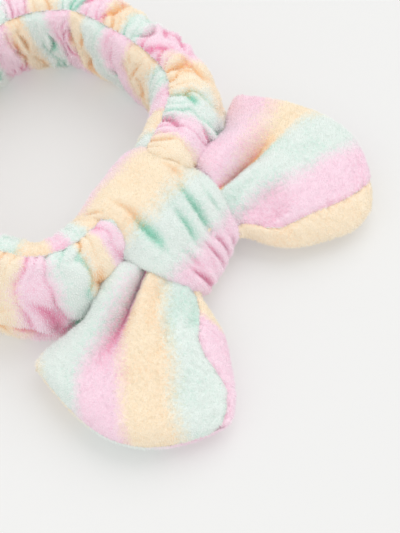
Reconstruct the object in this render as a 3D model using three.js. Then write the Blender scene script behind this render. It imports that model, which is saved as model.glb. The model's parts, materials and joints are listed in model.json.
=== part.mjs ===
// Plush spa headband: a gathered, elastic band standing on its edge, with a big bow held by a wrapped knot.
// Millimetres, +Z up. The bow faces -Y, the band closes at the rear on +Y.
import * as THREE from 'three';

// Band: plan of its centre line (a rounded D) and its section
const BAND_HALF_WIDTH = 77;
const BAND_HALF_DEPTH = 64;
const BAND_MIDDLE_Y = 28;
const BAND_SQUARE_FRONT = 3.2;
const BAND_SQUARE_REAR = 2.4;
const BAND_SKEW = 0.09;
const BAND_HEIGHT = 52;
const BAND_THICKNESS = 34;
const BAND_SECTION_POWER = 2.6;
const BAND_FLAT_CUT = 1.4;
const PINCH_HEIGHT = 40;
const PINCH_THICKNESS = 26;
const PINCH_LIFT = 6;
const PINCH_FROM = 34;
const PINCH_TO = 52;
const GATHERS = 24;
const GATHER_DEPTH = 1.3;
const INNER_GATHER_DEPTH = 0.5;
const STATIONS = 96;
const FABRIC = 2.6;
const SEAM_ANGLE = 110;
const SEAM_HALF_GAP = 5;
const THREAD_RADIUS = 0.6;

// Elastic inside the band
const ELASTIC_HEIGHT = 25;
const ELASTIC_THICKNESS = 1.4;
const ELASTIC_GAP_DEG = 4;
const JOIN_LENGTH = 24;
const JOIN_CLEAR = 0.4;

// Knot: outline of the wrap in the YZ plane, its half width and its thickness
const KNOT_OUTLINE = [[-17, 4], [-16, 26], [-19, 48], [-29, 55.5], [-45, 54], [-60, 47.5], [-75, 36],
  [-87, 24], [-93, 14], [-89, 4.5], [-76, 0.8], [-48, 0.4], [-24, 0.4]];
const KNOT_FABRIC = 4.2;
const KNOT_HALF_WIDTH_INSIDE = 30;
const KNOT_HALF_WIDTH_OUTSIDE = 19;
const KNOT_ROLL = 2.2;

// Bow
const CORE_Y = -69;
const CORE_Z = 22.5;
const CORE_TILT = -38;
const CORE_HALF_LENGTH = 22;
const CORE_RADII = [14.2, 8.6];
const WAIST = 2;
const WING_ROOT = [25.2, -77.5, 24.5];
const WING_TURN = -12;
const WING_LENGTH = 88;
const WING_CORNER_SETBACK = 30;
const WING_ROOT_HALF_WIDTH = 18;
const WING_END_HALF_WIDTH = 51;
const WING_BACK_FLARE = 8;
const WING_ROOT_TILT = 13;
const WING_END_Z = 12.2;
const WING_END_TILT = 1;
const WING_ROOT_PUFF = 7.5;
const WING_PUFF = 10;
const WING_EDGE = 1.9;
const PLEATS = 3;
const PLEAT_DEPTH = 1.6;
const PIPING_RADIUS = 1.1;
const FILLING_INSET = 0.88;

const clamp = (v, lo, hi) => Math.min(hi, Math.max(lo, v));
const mix = (a, b, t) => a + (b - a) * t;
const spow = (v, p) => Math.sign(v) * Math.pow(Math.abs(v), p);

function smooth(v, lo, hi) {
  const t = clamp((v - lo) / (hi - lo), 0, 1);
  return t * t * (3 - 2 * t);
}

// A closed body from a grid of points that wraps in both directions (a ring with a closed section)
function ringBody(rows) {
  const n = rows.length;
  const m = rows[0].length;
  const index = [];
  for (let i = 0; i < n; i += 1) {
    for (let j = 0; j < m; j += 1) {
      const a = i * m + j;
      const b = i * m + ((j + 1) % m);
      const c = ((i + 1) % n) * m + j;
      const d = ((i + 1) % n) * m + ((j + 1) % m);
      index.push(a, b, d, a, d, c);
    }
  }
  return outward(rows.flat(), index);
}

// A closed body from sections strung along an open path, capped at both ends
function strungBody(rows) {
  const n = rows.length;
  const m = rows[0].length;
  const points = rows.flat();
  const index = [];
  for (let i = 0; i < n - 1; i += 1) {
    for (let j = 0; j < m; j += 1) {
      const a = i * m + j;
      const b = i * m + ((j + 1) % m);
      index.push(a, b, b + m, a, b + m, a + m);
    }
  }
  for (const [row, flip] of [[0, true], [n - 1, false]]) {
    const middle = points.length;
    points.push(average(rows[row]));
    for (let j = 0; j < m; j += 1) {
      const a = row * m + j;
      const b = row * m + ((j + 1) % m);
      index.push(...(flip ? [middle, b, a] : [middle, a, b]));
    }
  }
  return outward(points, index);
}

// A closed sheet body between an upper and a lower grid of the same size
function slabBody(upper, lower) {
  const n = upper.length;
  const m = upper[0].length;
  const points = [...upper.flat(), ...lower.flat()];
  const off = n * m;
  const index = [];
  for (let i = 0; i < n - 1; i += 1) {
    for (let j = 0; j < m - 1; j += 1) {
      const a = i * m + j;
      index.push(a, a + m, a + m + 1, a, a + m + 1, a + 1);
      index.push(off + a, off + a + m + 1, off + a + m, off + a, off + a + 1, off + a + m + 1);
    }
  }
  const rim = [];
  for (let j = 0; j < m; j += 1) rim.push(j);
  for (let i = 1; i < n; i += 1) rim.push(i * m + m - 1);
  for (let j = m - 2; j >= 0; j -= 1) rim.push((n - 1) * m + j);
  for (let i = n - 2; i > 0; i -= 1) rim.push(i * m);
  for (let k = 0; k < rim.length; k += 1) {
    const a = rim[k];
    const b = rim[(k + 1) % rim.length];
    index.push(a, b, off + b, a, off + b, off + a);
  }
  return outward(points, index);
}

function average(points) {
  const sum = [0, 0, 0];
  for (const p of points) {
    for (let k = 0; k < 3; k += 1) sum[k] += p[k] / points.length;
  }
  return sum;
}

function outward(points, index) {
  let volume = 0;
  for (let k = 0; k < index.length; k += 3) {
    const [a, b, c] = [points[index[k]], points[index[k + 1]], points[index[k + 2]]];
    volume += a[0] * (b[1] * c[2] - b[2] * c[1]) + a[1] * (b[2] * c[0] - b[0] * c[2])
      + a[2] * (b[0] * c[1] - b[1] * c[0]);
  }
  const faces = volume < 0 ? index.slice().reverse() : index;
  const geometry = new THREE.BufferGeometry();
  geometry.setAttribute('position', new THREE.Float32BufferAttribute(points.flat(), 3));
  geometry.setIndex(faces);
  geometry.computeVertexNormals();
  return geometry;
}

function node(name, geometry, colour, roughness) {
  const material = new THREE.MeshStandardMaterial({ color: colour, roughness, metalness: 0 });
  const mesh = new THREE.Mesh(geometry, material);
  mesh.name = name;
  return mesh;
}

// Band centre line: angle 0 at the bow, growing towards +X
function bandPoint(angle) {
  const power = Math.cos(angle) > 0 ? BAND_SQUARE_FRONT : BAND_SQUARE_REAR;
  const side = Math.abs(Math.sin(angle));
  const blend = smooth(side, 0.85, 1);
  const p = mix(power, (BAND_SQUARE_FRONT + BAND_SQUARE_REAR) / 2, blend);
  const y = BAND_MIDDLE_Y - BAND_HALF_DEPTH * spow(Math.cos(angle), 2 / p);
  const front = BAND_MIDDLE_Y - BAND_HALF_DEPTH;
  const x = BAND_HALF_WIDTH * spow(Math.sin(angle), 2 / p) + BAND_SKEW * (y - front);
  return [x, y];
}

function bandFrame(angle) {
  const step = 0.02;
  const [x, y] = bandPoint(angle);
  const [x0, y0] = bandPoint(angle - step);
  const [x1, y1] = bandPoint(angle + step);
  const length = Math.hypot(x1 - x0, y1 - y0);
  return { x, y, outX: (y1 - y0) / length, outY: -(x1 - x0) / length };
}

// Stations spread evenly along the centre line
function bandStations(count) {
  const fine = 2880;
  const lengths = [0];
  let last = bandPoint(0);
  for (let i = 1; i <= fine; i += 1) {
    const here = bandPoint(i * 2 * Math.PI / fine);
    lengths.push(lengths[i - 1] + Math.hypot(here[0] - last[0], here[1] - last[1]));
    last = here;
  }
  const stations = [];
  let k = 0;
  for (let i = 0; i < count; i += 1) {
    const want = lengths[fine] * i / count;
    while (lengths[k + 1] < want) k += 1;
    const t = (want - lengths[k]) / (lengths[k + 1] - lengths[k]);
    stations.push({ angle: (k + t) * 2 * Math.PI / fine, share: i / count });
  }
  return stations;
}

// A point of the band's section: turn is the angle round it, 0 outwards and 90 up
function sectionPoint(frame, share, turnDeg, inset) {
  const free = frame.y > BAND_MIDDLE_Y ? 1 : smooth(Math.abs(frame.x), PINCH_FROM, PINCH_TO);
  const deep = Math.abs(turnDeg) > SEAM_ANGLE ? INNER_GATHER_DEPTH : GATHER_DEPTH;
  const ridge = deep * free * Math.cos(2 * Math.PI * GATHERS * share + turnDeg * 0.02);
  const height = mix(PINCH_HEIGHT, BAND_HEIGHT, free);
  const thick = mix(PINCH_THICKNESS, BAND_THICKNESS, free);
  const lift = mix(PINCH_LIFT, -BAND_FLAT_CUT, free);
  const turn = turnDeg * Math.PI / 180;
  const halfT = thick / 2 - inset + ridge;
  const halfH = height / 2 - inset + ridge * 0.6;
  const out = halfT * spow(Math.cos(turn), 2 / BAND_SECTION_POWER);
  const up = halfH * spow(Math.sin(turn), 2 / BAND_SECTION_POWER);
  const z = Math.max(lift + height / 2 + up, lift < 0 ? inset : 0);
  return [frame.x + frame.outX * out, frame.y + frame.outY * out, z];
}

function bandPanel(fromDeg, toDeg, steps) {
  const rows = [];
  for (const { angle, share } of bandStations(STATIONS)) {
    const frame = bandFrame(angle);
    const row = [];
    for (let j = 0; j <= steps; j += 1) {
      row.push(sectionPoint(frame, share, mix(fromDeg, toDeg, j / steps), 0));
    }
    for (let j = steps; j >= 0; j -= 1) {
      row.push(sectionPoint(frame, share, mix(fromDeg, toDeg, j / steps), FABRIC));
    }
    rows.push(row);
  }
  return ringBody(rows);
}

function bandSeam(turnDeg, inset) {
  const rows = [];
  for (const { angle, share } of bandStations(STATIONS)) {
    const frame = bandFrame(angle);
    const [x, y, z] = sectionPoint(frame, share, turnDeg, inset);
    const row = [];
    for (let j = 0; j < 6; j += 1) {
      const a = j * Math.PI / 3;
      const out = THREAD_RADIUS * Math.cos(a);
      row.push([x + frame.outX * out, y + frame.outY * out, z + THREAD_RADIUS * Math.sin(a)]);
    }
    rows.push(row);
  }
  return ringBody(rows);
}

function bandRearSeam() {
  const frame = bandFrame(Math.PI);
  const along = [frame.outY, -frame.outX];
  const rows = [];
  for (let k = 0; k <= 30; k += 1) {
    const turn = mix(-42, 218, k / 30);
    const [x, y, z] = sectionPoint(frame, 0.5, turn, -GATHER_DEPTH - 0.2);
    const [x2, y2, z2] = sectionPoint(frame, 0.5, turn, -GATHER_DEPTH - 2);
    const length = Math.hypot(x2 - x, y2 - y, z2 - z);
    const out = [(x2 - x) / length, (y2 - y) / length, (z2 - z) / length];
    rows.push([0, 1, 2, 3, 4, 5].map((j) => {
      const c = THREAD_RADIUS * Math.cos(j * Math.PI / 3);
      const s = THREAD_RADIUS * Math.sin(j * Math.PI / 3);
      return [x + out[0] * c + along[0] * s, y + out[1] * c + along[1] * s, z + out[2] * c];
    }));
  }
  return strungBody(rows);
}

function elasticLoop() {
  const gap = ELASTIC_GAP_DEG * Math.PI / 180;
  const rows = [];
  const steps = 96;
  for (let i = 0; i <= steps; i += 1) {
    const frame = bandFrame(mix(-Math.PI + gap, Math.PI - gap, i / steps));
    rows.push(elasticSection(frame, -ELASTIC_THICKNESS / 2, ELASTIC_THICKNESS / 2));
  }
  return strungBody(rows);
}

function elasticSection(frame, from, to) {
  const middle = BAND_HEIGHT / 2 - BAND_FLAT_CUT;
  const low = middle - ELASTIC_HEIGHT / 2;
  const high = middle + ELASTIC_HEIGHT / 2;
  return [[from, low], [to, low], [to, high], [from, high]].map(
    ([out, z]) => [frame.x + frame.outX * out, frame.y + frame.outY * out, z]);
}

function elasticJoin() {
  const rows = [];
  const reach = JOIN_LENGTH / 2 / BAND_HALF_WIDTH;
  const from = ELASTIC_THICKNESS / 2 + JOIN_CLEAR;
  for (let i = 0; i <= 8; i += 1) {
    const frame = bandFrame(Math.PI + mix(-reach, reach, i / 8));
    rows.push(elasticSection(frame, from, from + ELASTIC_THICKNESS));
  }
  return strungBody(rows);
}

// The wrap: a strap closed round the band and the bow's middle, wide on the inside, narrow outside
function knotWrap() {
  const loop = new THREE.CatmullRomCurve3(
    KNOT_OUTLINE.map(([y, z]) => new THREE.Vector3(0, y, z)), true, 'centripetal');
  const rows = [];
  const count = 56;
  for (let i = 0; i < count; i += 1) {
    const p = loop.getPointAt(i / count);
    const t = loop.getTangentAt(i / count);
    const inY = -t.z;
    const inZ = t.y;
    const half = mix(KNOT_HALF_WIDTH_INSIDE, KNOT_HALF_WIDTH_OUTSIDE, smooth(-p.y, 34, 88));
    const row = [];
    for (const [share, depth] of [[-1, 1], [-0.93, 0.1], [-0.7, 0], [0, -0.12], [0.7, 0], [0.93, 0.1],
      [1, 1], [0.93, KNOT_FABRIC - 0.3], [0.5, KNOT_FABRIC], [-0.5, KNOT_FABRIC], [-0.93, KNOT_FABRIC - 0.3]]) {
      const d = Math.abs(share) === 1 ? KNOT_ROLL : depth;
      row.push([half * share, p.y + inY * d, Math.max(p.z + inZ * d, 0)]);
    }
    rows.push(row);
  }
  return ringBody(rows);
}

function knotSeam() {
  const rows = [];
  for (let i = 0; i <= 12; i += 1) {
    const x = mix(-KNOT_HALF_WIDTH_INSIDE + 4, KNOT_HALF_WIDTH_INSIDE - 4, i / 12);
    rows.push([0, 1, 2, 3, 4, 5].map((j) => [
      x,
      -14.4 + THREAD_RADIUS * Math.cos(j * Math.PI / 3),
      26 + THREAD_RADIUS * Math.sin(j * Math.PI / 3)]));
  }
  return strungBody(rows);
}

// The bow's gathered middle: a pleated roll with a waist
function coreRadius(x) {
  return 1 - (WAIST / CORE_RADII[0]) * (1 - smooth(Math.abs(x), 1.5, 10));
}

function corePoint(x, a, grow) {
  const pleat = 1 + 0.05 * Math.cos(7 * a);
  const y = (CORE_RADII[0] * coreRadius(x) * pleat + grow) * Math.cos(a);
  const z = (CORE_RADII[1] * coreRadius(x) * pleat + grow) * Math.sin(a);
  const tilt = -CORE_TILT * Math.PI / 180;
  return [x, CORE_Y + y * Math.cos(tilt) - z * Math.sin(tilt), CORE_Z + y * Math.sin(tilt) + z * Math.cos(tilt)];
}

function bowCore() {
  const rows = [];
  for (let i = 0; i <= 14; i += 1) {
    const x = mix(-CORE_HALF_LENGTH, CORE_HALF_LENGTH, i / 14);
    const row = [];
    for (let j = 0; j < 28; j += 1) row.push(corePoint(x, j * Math.PI / 14, 0));
    rows.push(row);
  }
  return strungBody(rows);
}

function gatherThread() {
  const rows = [];
  for (let j = 0; j < 28; j += 1) {
    const a = j * Math.PI / 14;
    const row = [];
    for (let k = 0; k < 6; k += 1) {
      const c = THREAD_RADIUS * Math.cos(k * Math.PI / 3);
      const s = THREAD_RADIUS * Math.sin(k * Math.PI / 3);
      row.push(corePoint(s, a, 1.1 + c));
    }
    rows.push(row);
  }
  return ringBody(rows);
}

// A wing: u runs from the root to the end, v from the front edge (-1) to the back edge (1)
function wingPoint(side, u, v, high) {
  const turn = WING_TURN * Math.PI / 180;
  const along = u * (WING_LENGTH - WING_CORNER_SETBACK * v * v);
  const flare = v > 0 ? WING_BACK_FLARE * v * v * smooth(u, 0.45, 1) : 0;
  const half = flare + mix(WING_ROOT_HALF_WIDTH, WING_END_HALF_WIDTH, Math.pow(u, 0.9)) * (1 - 0.05 * Math.pow(u, 6));
  const x = WING_ROOT[0] + along * Math.cos(turn) - half * v * Math.sin(turn);
  const y = WING_ROOT[1] + along * Math.sin(turn) + half * v * Math.cos(turn);
  const drop = smooth(u, 0, 0.85);
  const z = mix(WING_ROOT[2] + WING_ROOT_TILT * v, WING_END_Z + WING_END_TILT * v, drop);
  const pleat = PLEAT_DEPTH * (1 - smooth(u, 0, 0.6)) * Math.cos(Math.PI * PLEATS * v);
  return [side * x, y, z + pleat + high];
}

// Half the wing's thickness, full in the middle and thin at the three sewn edges
function wingPuff(u, v, edge) {
  const across = Math.pow(1 - Math.pow(Math.abs(v), 3.2), 0.55);
  const end = Math.pow(1 - Math.pow(clamp(u, 0, 1), 6), 0.55);
  const full = mix(WING_ROOT_PUFF * mix(0.75, 1, (v + 1) / 2), WING_PUFF, smooth(u, 0, 0.5));
  return edge + (full - edge) * across * end;
}

function wingGrid(side, inset, highOf) {
  const rows = [];
  for (let i = 0; i <= 12; i += 1) {
    const u = inset ? mix(0.02, FILLING_INSET, i / 12) : i / 12;
    const row = [];
    for (let j = 0; j <= 14; j += 1) {
      const v = mix(-1, 1, j / 14) * (inset ? FILLING_INSET : 1);
      row.push(wingPoint(side, u, v, highOf(u, v)));
    }
    rows.push(row);
  }
  return rows;
}

function wingPanel(side, face) {
  const outer = wingGrid(side, false, (u, v) => face * wingPuff(u, v, WING_EDGE));
  const inner = wingGrid(side, false, (u, v) => face * (wingPuff(u, v, WING_EDGE) * 0.72 - 1.1));
  return slabBody(face > 0 ? outer : inner, face > 0 ? inner : outer);
}

function wingFilling(side) {
  const reach = (u, v) => wingPuff(u, v, WING_EDGE) * 0.72 - 1.7;
  const high = (sign) => (u, v) => sign * Math.max(reach(u, v), 0.1);
  return slabBody(wingGrid(side, true, high(1)), wingGrid(side, true, high(-1)));
}

// The sewn edge: piping that runs up the front edge, round the end and back down the other edge
function wingPiping(side) {
  const path = [];
  for (let i = 2; i <= 18; i += 1) path.push([i / 18, -1]);
  for (let j = 1; j < 24; j += 1) path.push([1, mix(-1, 1, j / 24)]);
  for (let i = 18; i >= 2; i -= 1) path.push([i / 18, 1]);
  const centre = wingPoint(side, 0.6, 0, 0);
  const line = path.map(([u, v]) => {
    const [x, y, z] = wingPoint(side, u, v, 0);
    const length = Math.hypot(x - centre[0], y - centre[1]);
    const reach = PIPING_RADIUS + 0.5;
    return new THREE.Vector3(
      x + (x - centre[0]) / length * reach, y + (y - centre[1]) / length * reach, z);
  });
  const curve = new THREE.CatmullRomCurve3(line, false, 'centripetal');
  const rows = [];
  for (let i = 0; i <= 48; i += 1) {
    const p = curve.getPointAt(i / 48);
    const t = curve.getTangentAt(i / 48);
    const flat = new THREE.Vector3(t.y, -t.x, 0).normalize();
    const up = new THREE.Vector3().crossVectors(t, flat).normalize();
    rows.push([0, 1, 2, 3, 4, 5].map((j) => {
      const c = PIPING_RADIUS * Math.cos(j * Math.PI / 3);
      const s = PIPING_RADIUS * Math.sin(j * Math.PI / 3);
      return [p.x + flat.x * c + up.x * s, p.y + flat.y * c + up.y * s, p.z + flat.z * c + up.z * s];
    }));
  }
  return strungBody(rows);
}

// Puts the origin under the middle of the whole piece, at the level it rests on
function standOnOrigin(group) {
  const box = new THREE.Box3().setFromObject(group);
  const x = -(box.min.x + box.max.x) / 2;
  const y = -(box.min.y + box.max.y) / 2;
  for (const mesh of group.children) mesh.geometry.translate(x, y, -box.min.z);
  return group;
}

const PINK = 0xf3cfe6;
const MINT = 0xcfeee2;
const PEACH = 0xffe3c0;
const WHITE = 0xf4f2ee;

const group = new THREE.Group();
group.name = 'spa_headband';
const top = SEAM_ANGLE;
group.add(
  node('band_outer_panel', bandPanel(-top + SEAM_HALF_GAP, top - SEAM_HALF_GAP, 12), PINK, 0.95),
  node('band_inner_panel', bandPanel(top + SEAM_HALF_GAP, 360 - top - SEAM_HALF_GAP, 8), MINT, 0.95),
  node('band_top_seam', bandSeam(top, 0.9), WHITE, 0.7),
  node('band_bottom_seam', bandSeam(-top, 1.2), WHITE, 0.7),
  node('band_rear_seam', bandRearSeam(), WHITE, 0.7),
  node('elastic_loop', elasticLoop(), WHITE, 0.8),
  node('elastic_join', elasticJoin(), WHITE, 0.8),
  node('knot_wrap', knotWrap(), PEACH, 0.95),
  node('knot_seam', knotSeam(), WHITE, 0.7),
  node('bow_core', bowCore(), MINT, 0.95),
  node('gather_thread', gatherThread(), WHITE, 0.7),
);
for (const [name, side] of [['left', -1], ['right', 1]]) {
  group.add(
    node(`${name}_wing_front`, wingPanel(side, 1), side < 0 ? MINT : PINK, 0.95),
    node(`${name}_wing_back`, wingPanel(side, -1), PEACH, 0.95),
    node(`${name}_wing_filling`, wingFilling(side), WHITE, 0.9),
    node(`${name}_wing_seam`, wingPiping(side), PINK, 0.9),
  );
}

export default standOnOrigin(group);
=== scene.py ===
"""Plush spa headband: gathered band, wrapped knot and open bow, all in striped coral fleece."""
import json
import math

import bpy
import numpy as np
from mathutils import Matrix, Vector

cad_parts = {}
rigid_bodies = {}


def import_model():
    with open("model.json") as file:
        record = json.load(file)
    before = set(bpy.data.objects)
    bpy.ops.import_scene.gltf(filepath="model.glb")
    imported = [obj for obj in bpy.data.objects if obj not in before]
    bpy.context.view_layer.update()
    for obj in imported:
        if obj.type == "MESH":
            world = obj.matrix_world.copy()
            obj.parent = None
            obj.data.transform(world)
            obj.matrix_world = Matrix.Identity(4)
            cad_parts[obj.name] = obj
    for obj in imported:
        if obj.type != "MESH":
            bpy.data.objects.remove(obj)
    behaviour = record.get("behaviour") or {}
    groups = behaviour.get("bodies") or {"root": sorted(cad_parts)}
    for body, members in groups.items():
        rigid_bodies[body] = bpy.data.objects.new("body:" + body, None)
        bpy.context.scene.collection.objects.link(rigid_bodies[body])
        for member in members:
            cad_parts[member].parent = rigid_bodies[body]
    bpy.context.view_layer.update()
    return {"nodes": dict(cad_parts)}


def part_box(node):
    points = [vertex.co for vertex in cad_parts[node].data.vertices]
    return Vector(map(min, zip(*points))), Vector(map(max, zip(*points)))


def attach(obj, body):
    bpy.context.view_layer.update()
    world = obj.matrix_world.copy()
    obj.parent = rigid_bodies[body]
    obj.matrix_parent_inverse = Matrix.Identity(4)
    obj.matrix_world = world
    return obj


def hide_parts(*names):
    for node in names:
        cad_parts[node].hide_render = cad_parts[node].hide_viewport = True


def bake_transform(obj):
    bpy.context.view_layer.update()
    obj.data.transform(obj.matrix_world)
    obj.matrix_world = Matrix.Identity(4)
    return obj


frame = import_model()

# Shapes are worked out in mm, about the frame's origin
MM = 0.001
BOW_MIDDLE_Y = sum(corner[1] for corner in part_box("bow_core")) / 2 / MM
FINE = 1.0

# The least height of the cloth's face above the table
TABLE_GAP = {"band": 0.15, "knot": 0.1, "wing": 0.2}

# Stripe numbers, in the order they are knitted along the cloth
PEACH, PINK, MINT = 0, 1, 2


# ---------------------------------------------------------------- numbers and noise
def smooth(v, lo, hi):
    """A soft step: 0 at lo, 1 at hi."""
    t = np.clip((v - lo) / (hi - lo), 0, 1)
    return t * t * (3 - 2 * t)


def signed_power(v, p):
    """A power that keeps the sign, for rounded-square outlines."""
    return np.sign(v) * np.abs(v) ** p


def mix(a, b, t):
    """The value a share t of the way from a to b."""
    return a + (b - a) * t


LATTICE = 256


def noise(x, y, seed, period=LATTICE):
    """Smooth noise from -1 to 1 on a lattice that repeats every `period` cells along x."""
    rng = np.random.default_rng(seed)
    turn = rng.random((period, LATTICE)) * 2 * math.pi
    gx, gy = np.cos(turn), np.sin(turn)
    x0, y0 = np.floor(x).astype(int), np.floor(y).astype(int)
    fx, fy = x - x0, y - y0
    sx, sy = fx**3 * (fx * (fx * 6 - 15) + 10), fy**3 * (fy * (fy * 6 - 15) + 10)

    def corner(ix, iy):
        a, b = (x0 + ix) % period, (y0 + iy) % LATTICE
        return gx[a, b] * (fx - ix) + gy[a, b] * (fy - iy)

    low = mix(corner(0, 0), corner(1, 0), sx)
    high = mix(corner(0, 1), corner(1, 1), sx)
    return mix(low, high, sy) * 1.45


def puff_rows(q, power=2.3):
    """Rounded tops and sharp valleys, one per unit of q: 1 on top, 0 in the valley."""
    f = q - np.floor(q)
    return 1 - np.abs(2 * f - 1) ** power


# ---------------------------------------------------------------- mesh making
def place_object(name, data):
    """A new object in the scene."""
    thing = bpy.data.objects.new(name, data)
    bpy.context.collection.objects.link(thing)
    return thing


def body_from_sections(name, points, length_map, across_map, depth, closed, shown=0):
    """A closed body from sections (n, m, 3) in mm strung along a path, or round a ring where it is closed.

    The first `shown` points of each section are the face side of the cloth, which carries the pile.
    """
    n, m = points.shape[:2]
    rows = n if closed else n - 1
    i = np.arange(rows)[:, None]
    j = np.arange(m)[None, :]
    i2, j2 = (i + 1) % n, (j + 1) % m
    quads = np.stack([i * m + j, i * m + j2, i2 * m + j2, i2 * m + j], -1).reshape(-1, 4)
    ii = np.stack([i + 0 * j, i + 0 * j, i + 1 + 0 * j, i + 1 + 0 * j], -1).reshape(-1, 4)
    jj = np.stack([j + 0 * i, j + 1 + 0 * i, j + 1 + 0 * i, j + 0 * i], -1).reshape(-1, 4)
    verts = points.reshape(-1, 3) * MM
    faces = [tuple(q) for q in quads.tolist()]
    corners_u = [length_map[a, b] for a, b in zip(ii, jj)]
    corners_v = [across_map[a, b] for a, b in zip(ii, jj)]
    depths = depth.reshape(-1)
    face_side = np.zeros((n, m))
    face_side[:, :shown] = 1
    face_side = face_side.reshape(-1)
    if not closed:
        for row, back in ((0, True), (n - 1, False)):
            ring = [row * m + k for k in range(m)]
            middle = len(verts)
            verts = np.vstack([verts, verts[ring].mean(0)])
            depths = np.append(depths, depths[ring].mean())
            face_side = np.append(face_side, 0)
            u, v = length_map[row].mean(), across_map[row].mean()
            for k in range(m):
                a, b = ring[k], ring[(k + 1) % m]
                faces.append((middle, a, b) if back else (middle, b, a))
                ends = (k, k + 1) if back else (k + 1, k)
                corners_u.append([u, *(length_map[row, end] for end in ends)])
                corners_v.append([v, *(across_map[row, end] for end in ends)])
    tri = verts[quads]
    volume = np.einsum("ij,ij->", tri[:, 0], np.cross(tri[:, 1], tri[:, 2]))
    volume += np.einsum("ij,ij->", tri[:, 0], np.cross(tri[:, 2], tri[:, 3]))
    if volume < 0:
        faces = [f[::-1] for f in faces]
        corners_u = [list(c)[::-1] for c in corners_u]
        corners_v = [list(c)[::-1] for c in corners_v]
    mesh = bpy.data.meshes.new(name)
    mesh.from_pydata(verts.tolist(), [], faces)
    uv = mesh.uv_layers.new(name="cloth")
    flat = np.stack([np.concatenate([np.asarray(c, float) for c in corners_u]),
                     np.concatenate([np.asarray(c, float) for c in corners_v])], -1)
    uv.data.foreach_set("uv", flat.reshape(-1))
    # crease: how deep in a fold each point lies, which the finishes paint as shade
    for label, values in (("crease", np.clip(depths, 0, 1)), ("worn", face_side)):
        mesh.attributes.new(label, "FLOAT", "POINT").data.foreach_set("value", values)
    mesh.polygons.foreach_set("use_smooth", np.ones(len(mesh.polygons), bool))
    mesh.update()
    return place_object(name, mesh)


def line_of_edges(name, points, ring):
    """A mesh of edges only, through points in mm."""
    count = len(points)
    mesh = bpy.data.meshes.new(name)
    links = [(k, (k + 1) % count) for k in range(count if ring else count - 1)]
    mesh.from_pydata((np.asarray(points) * MM).tolist(), links, [])
    return mesh


def grid_normals(points, closed_rows):
    """Unit normals of a surface grid (n, m, 3)."""
    if closed_rows:
        du = np.roll(points, -1, 0) - np.roll(points, 1, 0)
    else:
        du = np.gradient(points, axis=0)
    dv = np.gradient(points, axis=1)
    normal = np.cross(du, dv)
    length = np.linalg.norm(normal, axis=-1, keepdims=True)
    return normal / np.maximum(length, 1e-9)


# ---------------------------------------------------------------- the band
BAND_HALF_WIDTH, BAND_HALF_DEPTH, BAND_SKEW, BAND_SIDE_SHIFT = 78, 64, 0.09, 4
BAND_HEIGHT, BAND_THICKNESS, BAND_FLAT_CUT = 52, 34, 1.4
# The band's height, thickness and lift where the knot squeezes it
KNOTTED_HEIGHT, KNOTTED_THICKNESS, KNOTTED_LIFT = 43, 26, 3.0
# How square the ring is at its front, rear and sides, and how square its section is
FRONT_POWER, REAR_POWER, SIDE_POWER, SECTION_POWER = 3.2, 2.4, 2.8, 2.45
# How far the outer wall leans out at its foot, and the share of the height under which it does
BAND_LEAN, LEAN_UNDER = 6.5, 0.42
# Degrees round the section to the seams, and how far they are rolled over at the left front
SEAM_TURN, SEAM_ROLL = 110, 20
BAND_STEPS, OUTER_STEPS, INNER_STEPS, LINING_STEPS = 640, 124, 76, 14
FABRIC_DEPTH, LINING_LIFT = 4.4, 2.2
BAND_STRIPES = 33
INNER_SLANT = 1.25
# One unit of the cloth's map across the stripes, in mm
MAP_UNIT = 12

# Each panel's gathers: rows of puffs round the ring, layers of waves that bend the rows and that lift the
# cloth as (strength, length, height, seed), and its scattered tucks; sizes in mm
GATHERS = {
    "outer": {"rows": 38, "warp": ((0.60, 44, 34, 11), (0.30, 18, 16, 12), (0.10, 8, 8, 13)),
              "lumps": ((2.3, 24, 20, 18), (1.1, 11, 11, 62)),
              "tucks": {"count": 130, "seed": 71, "length": 17, "deep": 2.3, "wide": 1.9}},
    "inner": {"rows": 41, "warp": ((0.55, 38, 40, 21), (0.28, 16, 24, 22), (0.12, 8, 10, 23)),
              "lumps": ((1.2, 22, 24, 27), (0.6, 10, 10, 64)),
              "tucks": {"count": 120, "seed": 73, "length": 15, "deep": 1.7, "wide": 1.3}},
}

# Where the middles of some stripes fall round the band's rim: (share of the way round, stripe number)
STRIPE_MIDDLES = {
    "outer": ((0, -1), (0.076, 1.5), (0.105, 2.5), (0.152, 3.5), (0.198, 4.5), (0.232, 5.5), (0.26, 6.5),
              (0.822, 24.5), (0.853, 25.5), (0.88, 26.5), (0.902, 27.5), (1, 32)),
    "inner": ((0, -2), (0.081, 0.5), (0.118, 1.5), (0.160, 2.5), (0.208, 3.5), (0.244, 4.5), (0.275, 5.5),
              (0.818, 23.5), (0.852, 24.5), (0.88, 25.5), (0.904, 26.5), (1, 31)),
}


def band_line(angle):
    """The band's centre line seen from above: a rounded ring, a little skewed."""
    c, s = np.cos(angle), np.sin(angle)
    p = np.where(c > 0, FRONT_POWER, REAR_POWER)
    p = mix(p, SIDE_POWER, smooth(np.abs(s), 0.85, 1))
    y = -BAND_HALF_DEPTH * signed_power(c, 2 / p)
    x = BAND_HALF_WIDTH * signed_power(s, 2 / p) + BAND_SKEW * (y + BAND_HALF_DEPTH) + BAND_SIDE_SHIFT
    return x, y


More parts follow.
